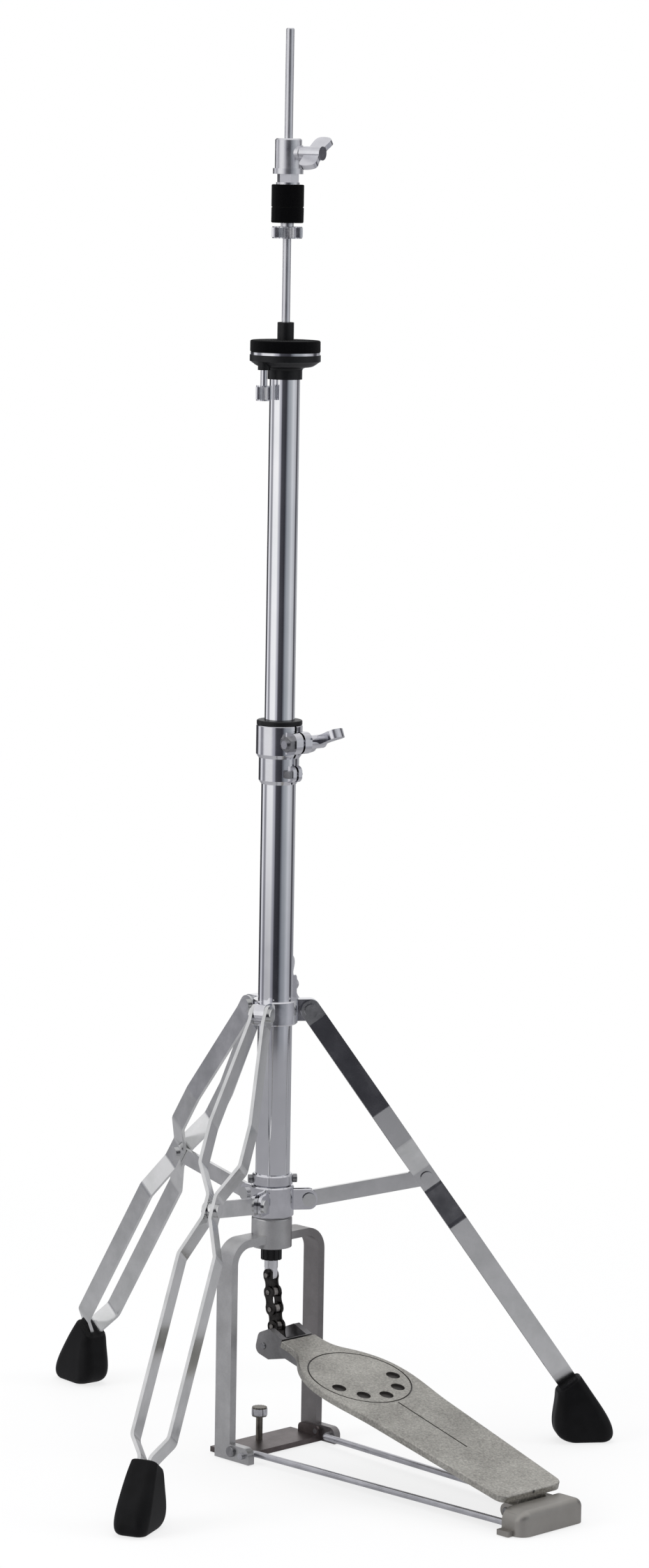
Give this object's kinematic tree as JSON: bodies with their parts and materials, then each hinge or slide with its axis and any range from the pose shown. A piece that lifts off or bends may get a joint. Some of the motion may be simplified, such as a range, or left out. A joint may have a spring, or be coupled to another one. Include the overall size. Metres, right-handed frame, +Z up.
{
  "type": "hi hat stand",
  "caption": "Hi hat stand without cymbals: folding double-braced tripod, telescopic tube with pull rod and clutch, tilting cymbal seat, and a footboard that pulls the rod by a chain.",
  "frame": {"origin": "on the floor under the axis of the upright tube, on the underside of the base plate", "axes": "+Z up along the tube, the footboard points to -Y, +X to the right seen from the heel of the footboard"},
  "size_m": [0.4555, 0.5494, 1.0426],
  "materials": {
    "chrome_tube": "polished chrome plate",
    "chrome_bar": "bright chrome plate on flat bar",
    "chrome_casting": "chrome plate on castings and screws",
    "steel_frame": "satin zinc-plated steel",
    "pedal_casting": "satin cast aluminium",
    "dark_steel": "black oxide",
    "spring_steel": "oiled spring steel",
    "rubber_boot": "matt black rubber",
    "black_felt": "pressed black felt",
    "black_nylon": "matt black nylon"
  },
  "bodies": {
    "stand": {"base_frame": "steel_frame", "base_plate": "steel_frame", "base_screws": "chrome_casting", "radius_rods": "steel_frame", "heel_plate": "pedal_casting", "heel_hinge_pin": "chrome_casting", "spring_seat": "black_nylon", "return_spring": "spring_steel", "lower_tube": "chrome_tube", "swivel_ring": "chrome_casting", "swivel_ring_screws": "chrome_casting", "height_clamp": "chrome_casting", "clamp_bushing": "black_nylon", "height_clamp_nut": "chrome_casting", "clamp_key_bolt": "chrome_casting"},
    "spur": {"spur_bolt": "chrome_casting"},
    "pedal": {"footboard": "pedal_casting", "toe_bracket": "pedal_casting", "toe_bracket_screws": "chrome_casting", "toe_pin": "chrome_casting"},
    "chain": {"chain_inner_plates": "dark_steel", "chain_outer_plates": "dark_steel", "chain_pins": "dark_steel", "chain_rollers": "dark_steel"},
    "pull_rod": {"rod_eye": "chrome_casting", "pull_rod_lower": "chrome_tube", "rod_coupler": "chrome_tube", "pull_rod_upper": "chrome_tube", "spring_washer": "chrome_casting"},
    "tension_nut": {"spring_nut": "dark_steel"},
    "height_bolt": {"height_wing_bolt": "chrome_casting"},
    "tripod_lower": {"tripod_lower_collar": "chrome_casting", "strut_rivets": "chrome_bar"},
    "tripod_upper": {"tripod_upper_collar": "chrome_casting"},
    "tripod_bolt": {"tripod_wing_bolt": "chrome_casting"},
    "mast": {"upper_tube": "chrome_tube", "rod_guide": "black_nylon", "seat_cup": "black_nylon"},
    "tilt_adjuster": {"tilt_screw": "chrome_casting"},
    "cymbal_seat": {"seat_washer": "chrome_casting", "seat_felt": "black_felt", "seat_sleeve": "black_nylon"},
    "clutch": {"clutch_body": "chrome_casting", "clutch_upper_felt": "black_felt", "clutch_lower_felt": "black_felt"},
    "clutch_screw": {"clutch_wing_screw": "chrome_casting"},
    "clutch_nut": {"clutch_bottom_nut": "chrome_casting"},
    "leg_rear": {"leg_rear_strips": "chrome_bar", "leg_rear_rivets": "chrome_bar", "leg_rear_foot": "rubber_boot"},
    "strut_rear": {"strut_rear": "chrome_bar"},
    "leg_left": {"leg_left_strips": "chrome_bar", "leg_left_rivets": "chrome_bar", "leg_left_foot": "rubber_boot"},
    "strut_left": {"strut_left": "chrome_bar"},
    "leg_right": {"leg_right_strips": "chrome_bar", "leg_right_rivets": "chrome_bar", "leg_right_foot": "rubber_boot"},
    "strut_right": {"strut_right": "chrome_bar"}
  },
  "joints": [
    {"name": "pedal_press", "type": "hinge", "parent": "stand", "child": "pedal", "pos_m": [0, -0.262, 0.012], "axis": [-1, 0, 0], "range_deg": [0, 8], "stiffness_Nm_per_rad": 60, "springref_deg": -4.58},
    {"name": "rod_pull", "type": "slide", "parent": "stand", "child": "pull_rod", "axis": [0, 0, -1], "range_m": [0, 0.03511], "deforming": ["return_spring"]},
    {"name": "chain_swing", "type": "hinge", "parent": "pull_rod", "child": "chain", "pos_m": [0, 0, 0.131], "axis": [1, 0, 0], "range_deg": [0, 8.11]},
    {"name": "spur_height", "type": "slide", "parent": "stand", "child": "spur", "axis": [0, 0, 1], "range_m": [-0.005, 0.008]},
    {"name": "tension_turn", "type": "hinge", "parent": "stand", "child": "tension_nut", "pos_m": [0, 0, 0.15], "axis": [0, 0, 1], "range_deg": [-180, 180]},
    {"name": "tripod_swivel", "type": "hinge", "parent": "stand", "child": "tripod_lower", "pos_m": [0, 0, 0.188], "axis": [0, 0, 1], "range_deg": [-30, 15]},
    {"name": "tripod_fold", "type": "slide", "parent": "tripod_lower", "child": "tripod_upper", "axis": [0, 0, 1], "range_m": [0, 0.09883]},
    {"name": "tripod_bolt_turn", "type": "hinge", "parent": "tripod_upper", "child": "tripod_bolt", "pos_m": [0.01827, 0.00813, 0.344], "axis": [0.9135, 0.4067, 0], "range_deg": [0, 180]},
    {"name": "mast_height", "type": "slide", "parent": "stand", "child": "mast", "axis": [0, 0, 1], "range_m": [-0.12, 0.05]},
    {"name": "height_bolt_turn", "type": "hinge", "parent": "stand", "child": "height_bolt", "pos_m": [0.008, -0.0205, 0.529], "axis": [1, 0, 0], "range_deg": [0, 180]},
    {"name": "tilt_screw_lift", "type": "slide", "parent": "mast", "child": "tilt_adjuster", "axis": [0, 0, 1], "range_m": [0, 0.00323]},
    {"name": "seat_tilt", "type": "hinge", "parent": "mast", "child": "cymbal_seat", "pos_m": [0.0252, 0, 0.8095], "axis": [0, 1, 0], "range_deg": [0, 4.2]},
    {"name": "clutch_height", "type": "slide", "parent": "pull_rod", "child": "clutch", "axis": [0, 0, 1], "range_m": [-0.02, 0.06]},
    {"name": "clutch_screw_turn", "type": "hinge", "parent": "clutch", "child": "clutch_screw", "pos_m": [0.00249, -0.01174, 0.954], "axis": [0.2079, -0.9781, 0], "range_deg": [0, 180]},
    {"name": "clutch_nut_turn", "type": "hinge", "parent": "clutch", "child": "clutch_nut", "pos_m": [0, 0, 0.897], "axis": [0, 0, 1], "range_deg": [-180, 180]},
    {"name": "leg_rear_swing", "type": "hinge", "parent": "tripod_upper", "child": "leg_rear", "pos_m": [0.00272, 0.02586, 0.33], "axis": [-0.9945, 0.1045, 0], "range_deg": [0, 27]},
    {"name": "strut_rear_swing", "type": "hinge", "parent": "tripod_lower", "child": "strut_rear", "pos_m": [0.00282, 0.02685, 0.188], "axis": [0.9945, -0.1045, 0], "range_deg": [0, 67.18]},
    {"name": "leg_left_swing", "type": "hinge", "parent": "tripod_upper", "child": "leg_left", "pos_m": [-0.02375, -0.01058, 0.33], "axis": [0.4067, -0.9135, 0], "range_deg": [0, 27]},
    {"name": "strut_left_swing", "type": "hinge", "parent": "tripod_lower", "child": "strut_left", "pos_m": [-0.02467, -0.01098, 0.188], "axis": [-0.4067, 0.9135, 0], "range_deg": [0, 67.18]},
    {"name": "leg_right_swing", "type": "hinge", "parent": "tripod_upper", "child": "leg_right", "pos_m": [0.02103, -0.01528, 0.33], "axis": [0.5878, 0.809, 0], "range_deg": [0, 27]},
    {"name": "strut_right_swing", "type": "hinge", "parent": "tripod_lower", "child": "strut_right", "pos_m": [0.02184, -0.01587, 0.188], "axis": [-0.5878, -0.809, 0], "range_deg": [0, 67.18]}
  ],
  "couplings": [
    {"joint": "rod_pull", "follows": "pedal_press", "m_per_rad": 0.25148},
    {"joint": "chain_swing", "follows": "pedal_press", "ratio": 1.0135},
    {"joint": "seat_tilt", "follows": "tilt_screw_lift", "rad_per_m": 21.607},
    {"joint": "leg_rear_swing", "follows": "tripod_fold", "rad_per_m": 4.7684},
    {"joint": "strut_rear_swing", "follows": "tripod_fold", "rad_per_m": 11.865},
    {"joint": "leg_left_swing", "follows": "tripod_fold", "rad_per_m": 4.7684},
    {"joint": "strut_left_swing", "follows": "tripod_fold", "rad_per_m": 11.865},
    {"joint": "leg_right_swing", "follows": "tripod_fold", "rad_per_m": 4.7684},
    {"joint": "strut_right_swing", "follows": "tripod_fold", "rad_per_m": 11.865}
  ]
}
